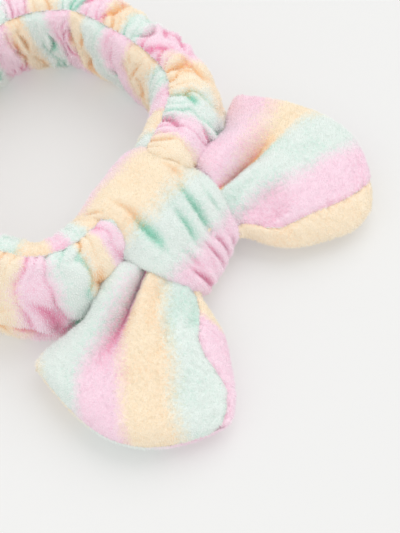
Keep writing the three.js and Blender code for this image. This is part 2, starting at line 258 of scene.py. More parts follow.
def band_stations(count):
    """Evenly spread points of the band's centre line, with the outward direction at each."""
    fine = np.linspace(0, 2 * math.pi, 7201)
    full_x, full_y = band_line(fine)
    length = np.concatenate([[0], np.cumsum(np.hypot(np.diff(full_x), np.diff(full_y)))])
    share = np.arange(count) / count
    x, y = band_line(np.interp(share * length[-1], length, fine))
    tx, ty = np.roll(x, -3) - np.roll(x, 3), np.roll(y, -3) - np.roll(y, 3)
    for _ in range(12):
        tx = (np.roll(tx, 1) + 2 * tx + np.roll(tx, -1)) / 4
        ty = (np.roll(ty, 1) + 2 * ty + np.roll(ty, -1)) / 4
    size = np.hypot(tx, ty)
    lo, hi = (np.array(corner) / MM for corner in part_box("elastic_loop"))
    middle_y = (lo[1] + hi[1]) / 2
    y = y + middle_y - (full_y.min() + full_y.max()) / 2
    return share, x, y, ty / size, -tx / size, length[-1]


def section_turns(first, last, count):
    """Turns round the section, evenly spread along its outline."""
    turn = np.linspace(first, last, 2001)
    t = np.radians(turn)
    out = BAND_THICKNESS / 2 * signed_power(np.cos(t), 2 / SECTION_POWER)
    up = BAND_HEIGHT / 2 * signed_power(np.sin(t), 2 / SECTION_POWER)
    length = np.concatenate([[0], np.cumsum(np.hypot(np.diff(out), np.diff(up)))])
    return np.interp(np.linspace(0, length[-1], count), length, turn), length[-1]


def band_surface(stations, turns, inset=0.0):
    """The band's plain section at every station; the cloth is rolled round it a little on the left front."""
    share, x, y, ox, oy, _ = stations
    free = np.where(y > y.mean(), 1.0, smooth(np.abs(x), 16, 30))[:, None]
    height = mix(KNOTTED_HEIGHT, BAND_HEIGHT, free)
    thick = mix(KNOTTED_THICKNESS, BAND_THICKNESS, free)
    lift = mix(KNOTTED_LIFT, -BAND_FLAT_CUT, free)
    roll = SEAM_ROLL * smooth(share, 0.72, 0.80) * (1 - smooth(share, 0.93, 1.0))
    t = np.radians(turns[None, :] - roll[:, None])
    out = (thick / 2 - inset) * signed_power(np.cos(t), 2 / SECTION_POWER)
    up = (height / 2 - inset) * signed_power(np.sin(t), 2 / SECTION_POWER)
    z = lift + height / 2 + up
    lean = BAND_LEAN * (0.35 + 0.65 * free) * (LEAN_UNDER - up / height) * (up < LEAN_UNDER * height)
    out = out - mix(1.0, 0.0, free) + lean
    return np.stack([x[:, None] + ox[:, None] * out, y[:, None] + oy[:, None] * out, z], -1), free


def pinches(s_mm, v_mm, around, lean, count, seed, length, deep, wide):
    """Short sharp tucks scattered over the cloth: how far it stands out, and how deep in a tuck it is."""
    rng = np.random.default_rng(seed)
    stand, crease = 0 * s_mm + 0 * v_mm, 0 * s_mm + 0 * v_mm
    tall = v_mm.max()
    rows = s_mm[:, 0]
    for _ in range(count):
        s0 = rng.random() * around
        v0 = (0.04 + 0.92 * rng.random()) * tall
        size = length * rng.uniform(0.55, 1.25)
        turn = lean + rng.normal(0, 0.42)
        depth = deep * rng.uniform(0.5, 1.2)
        width = wide * rng.uniform(0.75, 1.35)
        bend = rng.normal(0, 0.16)
        off = (rows - s0 + around / 2) % around - around / 2
        near = np.nonzero(np.abs(off) < size + 5 * width)[0]
        ds, dv = off[near][:, None], v_mm[:1] - v0
        along = (ds * math.sin(turn) + dv * math.cos(turn)) / (size / 2)
        across = ds * math.cos(turn) - dv * math.sin(turn) + bend * size * (along**2 - 0.5)
        ends = np.exp(-np.abs(along) ** 3.5)
        valley = ends * np.exp(-(across / width) ** 2)
        sides = ends * np.exp(-((np.abs(across) - 2.6 * width) / (1.5 * width)) ** 2)
        stand[near] += depth * (0.35 * sides - valley)
        crease[near] = np.maximum(crease[near], valley * min(1.0, 0.35 + depth / 2.0))
    return stand, crease


def outer_rows(s, warp, count, wave, seam_gap):
    """The frilled outside of the ring: puffs across it, and a finer ruffle along each seam."""
    q = count * s + warp
    rows = puff_rows(q, 2.0)
    shown = 0.25 + 0.75 * smooth(wave(24, 20, 14), -0.45, 0.35)
    near = np.exp(-seam_gap / 9.0)
    ruffle = puff_rows(2.0 * count * s + 2 * warp + 0.4 * wave(13, 30, 15), 2.0)
    stand = 2.6 * shown * (rows - 0.45) * (1 - 0.5 * near) + 2.2 * near * (ruffle - 0.5)
    crease = 0.8 * shown * (1 - rows) ** 3.0 + 0.6 * near * (1 - ruffle) ** 3
    return q, stand, crease


def inner_rows(s, warp, count, wave, height):
    """The inside of the ring: slanting folds that die out where the cloth turns over the rim."""
    slant = INNER_SLANT * count / BAND_STRIPES * smooth(height, 0.12, 1.0)
    q = count * s + slant + warp
    rows = puff_rows(q, 2.0)
    wall = smooth(height, 0.08, 0.35)
    shown = 0.2 + 0.8 * smooth(wave(22, 24, 24), -0.4, 0.4)
    stand = 2.0 * shown * (rows - 0.5) * (0.3 + 0.7 * wall)
    crease = 0.75 * shown * (1 - rows) ** 3.2 * (0.3 + 0.7 * wall)
    return q, stand, crease, 0.25 + 0.75 * wall


def band_gathers(share, across, around, panel, free):
    """How far the cloth stands out of the plain section, how deep in a crease it is, and its fold count."""
    s, v = share[:, None], across[None, :]
    gathers = GATHERS[panel]

    def wave(size, tall, seed):
        cells = int(round(around / size))
        return noise(s * cells, v / tall, seed, cells)

    def with_waves(total, layers):
        for strength, size, tall, seed in layers:
            total = total + strength * wave(size, tall, seed)
        return total

    seam_gap = np.minimum(v, v.max() - v)
    warp = with_waves(0, gathers["warp"])
    if panel == "outer":
        q, stand, crease = outer_rows(s, warp, gathers["rows"], wave, seam_gap)
        lean, tucked = 0.0, 1.0
    else:
        q, stand, crease, tucked = inner_rows(s, warp, gathers["rows"], wave, v / v.max())
        lean = math.atan2(-INNER_SLANT * around / BAND_STRIPES, v.max())
    stand = with_waves(stand, gathers["lumps"])
    tucks, marks = pinches(s * around, v + 0 * s, around, lean, **gathers["tucks"])
    stand, crease = stand + tucks * tucked, np.maximum(crease, marks * tucked)
    stand = stand * (0.35 + 0.65 * free)
    groove = np.exp(-(seam_gap / 2.6) ** 2)
    rear = np.exp(-((s - 0.5) * around / 2.2) ** 2)
    stand = stand * (1 - 0.5 * groove) - 1.0 * groove
    stand = stand * (1 - 0.8 * rear) - 1.8 * rear
    # The crease value, painted as shade by the finishes, also darkens the seam grooves and the rear seam
    return stand, np.clip(crease, 0, 1) * (0.4 + 0.6 * free) + 0.12 * groove + 0.2 * rear, q


# Past this length in mm the clumps' pattern repeats, on cloth that doesn't close into a ring
CLUMP_REACH = 1000


def pile_clumps(s_mm, v_mm, seed, period_mm):
    """The pile's small clumps, in mm."""
    def part(size, k):
        cells = max(1, int(round(period_mm / size)))
        return noise(s_mm / period_mm * cells, v_mm / size, seed + k, cells)

    return (0.42 * part(4.2, 0) + 0.34 * part(2.3, 1)) * 0.8


def band_stripes(panel, across, q):
    """The stripe number at each point of the band's sections and lining, and its place across them in mm."""
    n, tall, rows = len(q), across[-1], GATHERS[panel]["rows"]
    share = np.arange(n + 1)[:, None] / n
    v_mm = np.concatenate([across, np.linspace(tall, 0, LINING_STEPS), [0]])[None, :] + 0 * share
    drift = 0.26 * noise(share * 16, v_mm / 40, 41, 16) + 0.16 * noise(share * 45, v_mm / 14, 42, 45)
    folded = np.concatenate([q, q[:1] + rows])
    back = np.linspace(folded.shape[1] - 1, 0, LINING_STEPS).round().astype(int)
    folded = np.concatenate([folded, folded[:, back], folded[:, :1]], 1)
    lean = 0.0 if panel == "outer" else INNER_SLANT * smooth(v_mm / tall, 0.12, 1.0)
    gathered = 0.3 * (folded - rows * share) * BAND_STRIPES / rows
    marks = np.array(STRIPE_MIDDLES[panel])
    along = np.interp(share, marks[:, 0], marks[:, 1])
    return along + 0.7 * lean + gathered + drift, v_mm


def band_panel(name, panel, first, last, steps):
    """One side of the sleeve, from one seam to the other, with its lining; also gives its outer surface."""
    stations = band_stations(int(BAND_STEPS * FINE))
    share, around = stations[0], stations[5]
    turns, tall = section_turns(first, last, int(steps * FINE))
    across = np.linspace(0, tall, len(turns))
    base, free = band_surface(stations, turns)
    normal = grid_normals(base, True)
    centre, _ = band_surface(stations, turns, 12.0)
    if np.einsum("ijk,ijk->", normal, base - centre) < 0:
        normal = -normal
    stand, crease, q = band_gathers(share, across, around, panel, free)
    stand = stand + pile_clumps(share[:, None] * around, across[None, :], 31, around)
    surface = base + normal * stand[..., None]
    surface[..., 2] = np.maximum(surface[..., 2], TABLE_GAP["band"])
    lining_turns, _ = section_turns(first, last, LINING_STEPS)
    lining, _ = band_surface(stations, lining_turns[::-1], FABRIC_DEPTH)
    lining[..., 2] = np.maximum(lining[..., 2], LINING_LIFT)
    points = np.concatenate([surface, lining], 1)
    stripe, v_mm = band_stripes(panel, across, q)
    depth = np.concatenate([crease, np.zeros((len(points), LINING_STEPS))], 1)
    body = body_from_sections(name, points, stripe, v_mm / MAP_UNIT, depth, True, surface.shape[1])
    return body, surface


# ---------------------------------------------------------------- the knot
# The knot's side view, inner edge first: (place along Y, height) in mm, where Y counts from a line that
# lies KNOT_BEHIND mm behind the knot's rear face
KNOT_OUTLINE = ((-22, 4), (-19.5, 26), (-21.5, 43), (-31, 51.5), (-45, 51.5), (-58, 47), (-71, 38),
                (-83, 26), (-89.5, 14), (-85.5, 5), (-73, 1.2), (-48, 0.8), (-28, 0.8))
KNOT_BEHIND = 17
KNOT_STEPS, KNOT_ACROSS = 330, 84
KNOT_HALF_INSIDE, KNOT_HALF_TOP, KNOT_HALF_FRONT = 29.5, 32.5, 25.0
KNOT_SKEW = (-4.0, -1.5)
KNOT_FABRIC = 4.5
# How far the strip's edges dip to the band, and how far its lower edges curl in under the bow
KNOT_HUG, KNOT_CURL = 9.0, 7.0
KNOT_STRIPE = 31


def closed_spline(points, count):
    """A closed, evenly sampled Catmull-Rom line through the points."""
    p = np.array(points, float)
    out = []
    for k in range(len(p)):
        a, b, c, d = p[k - 1], p[k], p[(k + 1) % len(p)], p[(k + 2) % len(p)]
        t = np.linspace(0, 1, 60, endpoint=False)[:, None]
        curve = 2 * b + (c - a) * t + (2 * a - 5 * b + 4 * c - d) * t**2
        out.append(0.5 * (curve + (3 * b - a - 3 * c + d) * t**3))
    line = np.vstack(out + [p[:1]])
    length = np.concatenate([[0], np.cumsum(np.linalg.norm(np.diff(line, axis=0), axis=1))])
    want = np.linspace(0, length[-1], count, endpoint=False)
    return np.stack([np.interp(want, length, line[:, k]) for k in range(2)], -1), length[-1], want


def crease_lines(a, b, lines):
    """Soft valleys along short lines (a0, b0, a1, b1, depth, width), all in mm; returns stand and crease."""
    stand, crease = 0 * a, 0 * a
    for a0, b0, a1, b1, deep, wide in lines:
        da, db = a1 - a0, b1 - b0
        size = math.hypot(da, db)
        t = np.clip(((a - a0) * da + (b - b0) * db) / size**2, 0, 1)
        off = ((a - a0) * db - (b - b0) * da) / size + 0.12 * size * (t - 0.5) ** 2 * 2
        along = np.hypot(a - a0 - t * da, b - b0 - t * db)
        ends = np.sin(math.pi * np.clip(0.08 + 0.84 * t, 0, 1))
        valley = np.exp(-(along / wide) ** 2) * ends
        beside = np.exp(-((np.abs(off) - 2.4 * wide) / (1.3 * wide)) ** 2)
        sides = beside * ends * np.exp(-(along / (4 * wide)) ** 2)
        stand = stand - deep * valley + 0.45 * deep * sides
        crease = crease + valley * min(1.0, deep / 2.2)
    return stand, crease


# Creases: (start along, start across, end along, end across, depth, width) in mm from the inner edge
KNOT_CREASES = (
    (35, 14, 66, 7, 1.9, 2.3), (40, 2, 62, -3, 1.7, 2.1), (26, -16, 50, -18, 2.1, 3.0),
    (56, -12, 72, -10, 1.0, 1.8), (68, -15, 92, -8, 2.2, 1.5), (64, 1, 86, 3, 2.1, 1.3),
    (66, 9, 84, 10, 1.8, 1.2), (74, 17, 88, 14, 1.2, 1.3), (3, -24, 12, -20, 1.3, 1.0),
    (5, -28, 16, -23, 1.3, 1.0), (10, -30, 22, -26, 1.3, 1.1), (14, -12, 30, -15, 1.0, 1.8),
    (22, 20, 36, 20, 0.9, 2.2), (48, 22, 62, 19, 1.0, 1.8),
)


def knot_relief(a, b, w):
    """How far the knot's cloth stands out at a mm along and b mm across, and how deep in a crease it is."""
    stand, crease = crease_lines(a, b, KNOT_CREASES)
    pull = smooth(a, 34, 84)
    rows = puff_rows(w[None, :] * 2.2 + 0.5 * noise(a / 30, b / 14, 51) + 0.3, 2.0)
    stand = stand + pull * 0.9 * (rows - 0.5)
    stand = stand + 1.4 * noise(a / 24, b / 18, 52) + 0.5 * noise(a / 11, b / 9, 53)
    crease = crease + pull * 0.25 * (1 - rows) ** 3
    return stand + pile_clumps(a + 400, b + 100, 55, CLUMP_REACH), crease


def knot_hug(forward, height, s_mm):
    """How far the strip's edges dip: over the band they hug it, and under the bow they curl in."""
    above = smooth(height, 8, 30)[:, None]
    hug = mix(2.0, KNOT_HUG, smooth(s_mm[:, None], 4, 22)) * (1 - 0.95 * smooth(s_mm[:, None], 30, 56))
    curl = KNOT_CURL * (smooth(forward, 44, 58) * (1 - smooth(height, 8, 22)))[:, None]
    return above * hug + curl


def knot_wrap():
    """The wide strip round band and bow: it hugs the band at its edges and narrows over the bow's middle."""
    count, wide = int(KNOT_STEPS * FINE), int(KNOT_ACROSS * FINE)
    line, around, along = closed_spline(KNOT_OUTLINE, count)
    forward, height = -line[:, 0], line[:, 1]
    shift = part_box("knot_wrap")[1][1] / MM + KNOT_BEHIND
    tangent = np.roll(line, -1, 0) - np.roll(line, 1, 0)
    tangent /= np.linalg.norm(tangent, axis=1, keepdims=True)
    outward = np.stack([tangent[:, 1], -tangent[:, 0]], -1)
    half = mix(KNOT_HALF_INSIDE, KNOT_HALF_TOP, smooth(forward, 32, 46))
    half = mix(half, KNOT_HALF_FRONT, smooth(forward, 64, 88))
    centre = mix(KNOT_SKEW[0], KNOT_SKEW[1], smooth(forward, 32, 50))[:, None]
    top = int(np.argmin(np.abs(line[:, 0] + 24) + (height < 40) * 1e3))
    s_mm = (along - along[top]) % around
    s_mm = np.where(s_mm > around * 0.8, s_mm - around, s_mm)
    w = np.sin(np.linspace(-1, 1, wide) * math.pi / 2 * 0.94) / math.sin(math.pi / 2 * 0.94)
    a, b = s_mm[:, None] + 0 * w, half[:, None] * w
    low = smooth(height, 1, 8)[:, None]
    stand, crease = knot_relief(a, b, w)
    hug = knot_hug(forward, height, s_mm)
    roll = (1 - np.abs(w) ** 6) ** 0.5
    rise = KNOT_FABRIC * (roll - 1) + stand * low * roll - hug * np.abs(w) ** 3.4
    w_in = np.linspace(0.96, -0.96, LINING_STEPS)
    sink = -KNOT_FABRIC - hug * np.abs(w_in) ** 3.4

    def strip(across, out):
        y = line[:, :1] + shift + outward[:, :1] * out
        return np.stack([centre + across, y, line[:, 1:] + outward[:, 1:] * out], -1)

    outer, inner = strip(b, rise), strip(half[:, None] * w_in, sink)
    outer[..., 2] = np.maximum(outer[..., 2], TABLE_GAP["knot"])
    points = np.concatenate([outer, inner], 1)
    s_row = np.append(s_mm, s_mm[0])
    length = np.concatenate([np.concatenate([a, a[:1]]), np.repeat(s_row[:, None], LINING_STEPS + 1, 1)], 1)
    across = np.concatenate([b, half[:, None] * w_in, b[:, :1]], 1)
    across = np.concatenate([across, across[:1]])
    stripe = 1 - (length - 2) / KNOT_STRIPE
    stripe = stripe + 0.09 * noise(stripe * 3, across / 12, 57) + 0.10 * across / 30
    # Painted shade in the knot's creases, kept off the cloth that lies lowest
    depth = np.concatenate([crease * low, np.zeros((count, LINING_STEPS))], 1)
    return body_from_sections("knot_wrap_plush", points, stripe, across / MAP_UNIT, depth, True, wide), outer


# ---------------------------------------------------------------- the bow's wings
WING_TURN = -12
WING_LENGTH, WING_ROOT_HALF, WING_END_HALF = 88, 18, 51
WING_FLARE, WING_ROOT_SPREAD = 8, 8
# The middle of a wing's root, from the middle of the bow, in mm
WING_ROOT = (25.2, -8.5, 24.5)
ROOT_TAKE_IN = 4.0
# u runs from a little inside the knot to the wing's end, where it is 1
WING_START, WING_SPAN = -0.14, 1.14
WING_STEPS, WING_ACROSS, WING_LINING = 150, 190, 24

# side: which way the wing points; setback: how far its front and back corners lie behind its end's middle;
# puff: swell of its front edge; valley: where the roll's valley runs across the wing, at the root and its
# change to the end; open, deep, roll: where the valley fades, its depth and the roll's height;
# seam: where the front seam lies at the root and at the end, and between which u it moves;
# stripes: slant along the wing, start, width and number; tucked: cloth hidden in the valley, its reach and
# fading; under: the same for the back panel, as number, change at the root and width;
# soft: softer folds as (place across, change along, reach, depth, width). Lengths are in mm.
WINGS = {
    "left": {"side": -1, "setback": (25, 25), "puff": 1.5, "valley": (18.5, 5.0), "open": (0.30, 0.80),
             "deep": 10.0, "roll": 4.5, "seam": (-0.41, -0.78, 0.30, 0.75),
             "stripes": (37.0, -9.0, 26.0, 0), "tucked": (42.0, 0.85, 1.1), "under": (1.5, 0.95, 42),
             "soft": ((-2, -6, 0.6, 2.2, 5.0), (-10, -14, 0.45, 2.2, 4.0), (6, 2, 0.4, 1.4, 3.5))},
    "right": {"side": 1, "setback": (21, 28), "puff": 6.5, "valley": (12.5, 8.0), "open": (0.30, 0.75),
              "deep": 9.0, "roll": 4.5, "seam": (-0.36, -0.58, 0.0, 0.2),
              "stripes": (14.4, 1.8, 28.0, 2), "tucked": (45.0, 1.0, 0.8), "under": (0.5, 0.0, 40),
              "soft": ((-6, -4, 0.55, 2.0, 5.0), (-14, -12, 0.4, 2.4, 4.0), (4, 2, 0.4, 1.2, 3.5))},
}


def root_open(u):
    """How far the wing has opened out from where it is drawn together inside the knot."""
    return smooth(u, WING_START, 0.10)


def wing_half(wing, u, v):
    """Half the wing's width at u, on the side that v says."""
    uu = np.clip(u, 0, 1)
    half = mix(WING_ROOT_HALF, WING_END_HALF, uu**0.9) * (1 - 0.12 * uu**8) * mix(0.4, 1.0, root_open(u))
    back = WING_FLARE * smooth(uu, 0.45, 1) + WING_ROOT_SPREAD * (1 - smooth(uu, 0.1, 0.6))
    swell = wing["puff"] * smooth(uu, 0, 0.2) * (1 - smooth(uu, 0.6, 1))
    front = swell - ROOT_TAKE_IN * (1 - smooth(uu, 0, 0.3))
    return half + np.where(v > 0, back, front) * v * v * root_open(u)


def wing_base(wing, u, v, top, stand=0.0, slide=0.0):
    """A point of a wing: u root to end, v front edge (-1) to back edge (1), top 1 or -1."""
    turn = math.radians(WING_TURN)
    uu = np.clip(u, 0, 1)
    along = u * (WING_LENGTH - np.where(v > 0, *wing["setback"]) * v * v)
    lateral = wing_half(wing, u, v) * v + slide
    x = WING_ROOT[0] + along * math.cos(turn) - lateral * math.sin(turn)
    y = WING_ROOT[1] + BOW_MIDDLE_Y + along * math.sin(turn) + lateral * math.cos(turn)
    z_root = WING_ROOT[2] - 2 + 11.5 * v * mix(0.55, 1.0, root_open(u))
    z_mid = mix(z_root, 12.2 + 1.0 * v, smooth(uu, 0, 0.85))
    across = (1 - np.abs(v) ** 3.6) ** 0.5
    end = (1 - uu**7) ** 0.5
    full = mix(6.5 * mix(0.7, 1.0, (v + 1) / 2), 11.0, smooth(uu, 0, 0.45)) * mix(0.25, 1.0, root_open(u))
    z = z_mid + top * full * across * end + stand
    return np.stack([wing["side"] * x, y, z], -1)


def wing_folds(wing, u, v, seed):
    """The roll along the back edge, its valley and the softer folds.

    Gives the height they add, how deep in a crease the cloth is, how far it slides sideways, and its
    distance from the valley.
    """
    lateral = wing_half(wing, u, v) * v
    gap = lateral - wing["valley"][0] - wing["valley"][1] * u
    opened = 1 - smooth(u, *wing["open"])
    wide = mix(3.0, 8.0, smooth(u, 0.05, 0.7))
    valley = np.exp(-(gap / wide) ** 2)
    roll = smooth(gap, 0.5, 8.0) * (1 - smooth(u, 0.3, 1.05) * 0.75) * smooth(u, -0.1, 0.25)
    sunk = -wing["deep"] * smooth(u, -0.05, 0.2) * opened * valley
    stand = sunk + wing["roll"] * roll * (1 - 0.35 * smooth(v, 0.75, 1.0))
    crease = opened * np.exp(-(gap / (0.8 * wide)) ** 2)
    for start, bend, reach, deep, size in wing["soft"]:
        fade = 1 - smooth(u, reach * 0.4, reach)
        bell = np.exp(-((lateral - start - bend * u) / size) ** 2)
        stand = stand - deep * fade * bell
        crease = crease + 0.35 * fade * bell * min(1.0, deep / 3)
    stand = stand + 1.3 * noise(u * 3.1 + 7, v * 2.2 + 9, seed) + 0.6 * noise(u * 7 + 3, v * 6 + 4, seed + 1)
    stand = stand * root_open(u)
    slide = -3.0 * opened * np.exp(-((gap - 3.0) / 5.0) ** 2)
    return stand, crease, slide, gap


def wing_stripe(wing, face, u, v, gap):
    """The cloth's stripe number: parallel stripes on a slant, and some cloth tucked away in the valley."""
    lateral = wing_half(wing, u, v) * v
    if face == "back":
        middle, change, width = wing["under"]
        return middle - change * (1 - smooth(u, 0.08, 0.3)) + (v + 0.9) * 45 / width
    slant, start, width, number = wing["stripes"]
    most, reach, power = wing["tucked"]
    tucked = most * np.maximum(0, 1 - np.clip(u, 0, 1) / reach) ** power
    return number + (lateral + slant * u + start + tucked * smooth(gap, -5, 1)) / width


def wing_lap(wing, u, face, cols):
    """Where the panel's columns lie round the wing: 0 is the middle of its top, 2 of its underside."""
    first, last, begins, ends = wing["seam"]
    seam_front = mix(first, last, smooth(u, begins, ends))
    seam_back = 1.12 + 0 * u
    k = np.linspace(0, 1, cols)[None, :]
    w = mix(seam_front, seam_back, k) if face == "front" else mix(seam_back, seam_front + 4, k)
    return (w + 1) % 4 - 1, seam_front


def eased(t):
    """Places columns closer together near the wing's edges."""
    return np.sin(np.clip(t, -1, 1) * math.pi / 2)


def wing_panel(name, wing, face, seed):
    """face 'front' covers the top and rolls over the back edge; 'back' is the rest."""
    rows, cols = int(WING_STEPS * FINE), int(WING_ACROSS * FINE)
    u = (WING_START + WING_SPAN * (1 - (1 - np.linspace(0, 1, rows)) ** 1.5))[:, None]
    lap, seam_front = wing_lap(wing, u, face, cols)
    v = np.where(lap <= 1, eased(lap), eased(2 - lap))
    top = np.where(lap <= 1, 1.0, -1.0)
    stand, crease, slide, gap = wing_folds(wing, u, v, seed)
    upper = smooth(lap, seam_front - 0.1, seam_front + 0.15) * (1 - smooth(lap, 0.9, 1.05))
    upper = upper * smooth(u, 1.0, 0.93)
    base = wing_base(wing, u, v, top, stand * upper, slide * upper)
    normal = grid_normals(base, False)
    inside = wing_base(wing, u, v * 0.9, 0 * top)
    if np.einsum("ijk,ijk->", normal, base - inside) < 0:
        normal = -normal
    steps = np.linalg.norm(np.diff(base, axis=1), axis=2)
    arc = np.concatenate([np.zeros((rows, 1)), np.cumsum(steps, 1)], 1)
    seam_gap = np.minimum(arc, arc[:, -1:] - arc)
    end_gap = (1 - u) * 70
    groove = np.exp(-(seam_gap / 2.2) ** 2)
    puckers = puff_rows(u * 9 + 0.4 * noise(u * 5, arc / 20, seed + 5), 2) * np.exp(-(seam_gap / 6) ** 2)
    steps = np.linalg.norm(np.diff(base[:, cols // 2], axis=0), axis=1)
    s_mm = np.concatenate([[0], np.cumsum(steps)])[:, None]
    lift = 0.8 * puckers - 1.3 * groove - 0.9 * np.exp(-(end_gap / 2.5) ** 2)
    lift = lift + pile_clumps(s_mm + 0 * arc + 300, arc + 50, seed + 8, CLUMP_REACH)
    surface = base + normal * lift[..., None]
    surface[..., 2] = np.maximum(surface[..., 2], TABLE_GAP["wing"])
    pick = np.linspace(0, cols - 1, WING_LINING).round().astype(int)[::-1]
    thick = np.minimum(2.2, 0.6 + end_gap * 0.3)
    lining = (base - normal * (thick + 1.4)[..., None])[:, pick]
    points = np.concatenate([surface, lining], 1)
    stripe = wing_stripe(wing, face, u, v, gap)
    stripe = np.concatenate([stripe, stripe[:, pick], stripe[:, :1]], 1)
    length = np.repeat(s_mm, stripe.shape[1], 1) / MAP_UNIT
    stripe = stripe + 0.09 * noise(length * 0.5 + 3, stripe * 2 + 20, seed + 9)
    # Painted shade: the folds and the seam groove deepen the wing's colour
    crease = np.clip(crease * upper + 0.15 * groove, 0, 1)
    depth = np.concatenate([crease, np.zeros((rows, WING_LINING))], 1)
    return body_from_sections(name, points, stripe, length, depth, False, cols), surface


def wing_seam_line(surface):
    """The line where a wing's two panels are sewn: down one edge, round the end and back up the other."""
    first = int(0.16 * len(surface))
    return np.concatenate([surface[first:, 0], surface[-1, 1:-1:4], surface[first:, -1][::-1]])


def wing_filling(name, wing, seed):
    """Thin wadding that lies between the two panels."""
    u = np.linspace(0.06, 0.86, 40)[:, None]
    turn = np.linspace(0, 2 * math.pi, 64, endpoint=False)[None, :]
    v, high = 0.84 * np.cos(turn), np.sin(turn)
    swell = 2.6 * smooth(u, 0.0, 0.3) * (1 - 0.85 * smooth(u, 0.7, 0.86)) + 0.3
    base = wing_base(wing, u, v + 0 * u, 0 * high)
    lump = 0.5 * noise(u * 9, np.cos(turn) * 5 + 9, seed)
    base[..., 2] += (swell + lump) * high - 2.5
    around = np.append(turn[0], 2 * math.pi)[None, :] + 0 * u
    return body_from_sections(name, base, u * 7 + 0 * around, around, 0 * (u + turn), False)


# ---------------------------------------------------------------- the gathered middle under the knot
BOW_PLEATS = 15
# Half the pleats' length along X in mm, and how thick the waist is beside the frame's own
BOW_MIDDLE_REACH, WAIST = 23, 0.83


def bow_middle():
    """The bow's pleated waist: drawn in under its thread, it flares out to fill the knot's two mouths."""
    lo, hi = (np.array(corner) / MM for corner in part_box("bow_core"))
    middle, half = (lo + hi) / 2, (hi - lo) / 2
    along = np.linspace(-1, 1, 56)[:, None]
    turn = np.linspace(0, 2 * math.pi, 180, endpoint=False)[None, :]
    pleats = puff_rows(turn / (2 * math.pi) * BOW_PLEATS + 0.25 * np.sin(3 * turn + along), 2.0)
    flare = smooth(np.abs(along), 0.08, 0.8)
    mouth = smooth(np.abs(along), 0.80, 1.0)
    inset = 0.08 * (1 - pleats)
    deep = WAIST + 0.10 * flare - inset
    top = WAIST * (1 - 0.4 * mouth) - inset
    bottom = WAIST + 0.50 * flare - inset
    up = np.sin(turn)
    x = middle[0] + BOW_MIDDLE_REACH * along * (1 - 0.04 * up**2) + 0 * turn
    y = middle[1] + half[1] * deep * np.cos(turn)
    z = middle[2] + half[2] * np.where(up > 0, top, bottom) * up
    around = np.append(turn[0], 2 * math.pi)[None, :] * 3 + 0 * along
    # Painted shade in the valleys between the pleats
    crease = (1 - pleats) ** 3 * 0.8
    return body_from_sections("bow_middle_pleats", np.stack([x, y, z], -1), around, around, crease, False)


# ---------------------------------------------------------------- the elastic inside the band
# The weave's raised cords and its ripple, and how far outside the loop the overlap lies, in mm; where the
# loop's ends stop and how far their overlap reaches from the rear, in shares of the way round
ELASTIC_THICKNESS, ELASTIC_CORDS, CORD_RISE, RIPPLE_PITCH = 1.3, 9, 0.16, 9.0
ELASTIC_RIPPLE, OVERLAP_OUT = 0.3, 1.7
ELASTIC_END, OVERLAP_REACH = 0.0195, 0.037
ELASTIC_ACROSS = 46


def elastic_ribbon(name, node, first, last, out, ripple):
    """A strip of woven elastic along the band's centre line, from one share of the way round to another."""
    share, x, y, ox, oy, around = band_stations(int(BAND_STEPS * FINE))
    count = len(share)
    steps = np.arange(math.ceil(first * count), math.floor(last * count) + 1)
    turns = steps % count
    lo, hi = (np.array(corner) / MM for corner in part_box(node))
    across = np.linspace(0, 1, ELASTIC_ACROSS)
    cords = CORD_RISE * np.abs(np.sin(math.pi * ELASTIC_CORDS * across))
    wave = ripple * np.sin(2 * math.pi * steps / count * around / RIPPLE_PITCH)[:, None]
    thick = ELASTIC_THICKNESS / 2
    face, back = wave + out + thick - CORD_RISE + cords, wave + out - thick + CORD_RISE - cords[::-1]
    off = np.concatenate([face, back], 1)
    z = np.concatenate([mix(lo[2], hi[2], across), mix(hi[2], lo[2], across)])[None, :] + 0 * off
    points = np.stack([x[turns, None] + ox[turns, None] * off, y[turns, None] + oy[turns, None] * off, z], -1)
    length = np.repeat((steps / count * around / MAP_UNIT)[:, None], 2 * ELASTIC_ACROSS + 1, 1)
    side = np.append(np.concatenate([across, across[::-1]]), 0)[None, :] + 0 * length
    return body_from_sections(name, points, length, side, 0 * off, False)


# ---------------------------------------------------------------- node trees for what repeats
class Tree:
    """A Geometry Nodes tree with named inputs, built one node at a time."""

    def __init__(self, name, inputs):
        self.tree = bpy.data.node_groups.new(name, "GeometryNodeTree")
        self.ids = {}
        for label, kind, value in inputs:
            socket = self.tree.interface.new_socket(label, in_out="INPUT", socket_type=kind)
            self.ids[label] = socket.identifier
            if value is not None:
                socket.default_value = value
        self.tree.interface.new_socket("Geometry", in_out="OUTPUT", socket_type="NodeSocketGeometry")
        self.given = self.add("NodeGroupInput").outputs
        self.end = self.add("NodeGroupOutput")

    def add(self, kind, ins=(), **settings):
        """A new node: `ins` links or sets its sockets, and the settings are its own."""
        node = self.tree.nodes.new(kind)
        for key, value in settings.items():
            setattr(node, key, value)
        for socket, value in dict(ins).items():
            target = node.inputs[socket]
            if isinstance(value, bpy.types.NodeSocket):
                self.tree.links.new(value, target)
            else:
                target.default_value = value
        return node

    def maths(self, kind, a, b=0.0):
        """The result of one sum."""
        return self.add("ShaderNodeMath", {0: a, 1: b}, operation=kind).outputs[0]

    def random(self, low, high, seed, number):
        """A random value for each point; `number` keeps the draws apart."""
        salt = self.maths("ADD", seed, float(number))
        return self.add("FunctionNodeRandomValue", {2: low, 3: high, 8: salt}, data_type="FLOAT").outputs[1]

    def finish(self, geometry):
        """Makes this geometry what the tree gives."""
        self.tree.links.new(geometry, self.end.inputs[0])
        return self


def grown(name, tree, mesh, values):
    """The plain mesh that the tree makes from a mesh, as a new piece."""
    maker = place_object(name, mesh)
    modifier = maker.modifiers.new(name, "NODES")
    modifier.node_group = tree.tree
    for label, value in values.items():
        modifier[tree.ids[label]] = value
    ready = maker.evaluated_get(bpy.context.evaluated_depsgraph_get())
    made = bpy.data.meshes.new_from_object(ready)
    made.name = name
    bpy.data.objects.remove(maker)
    return place_object(name, made)


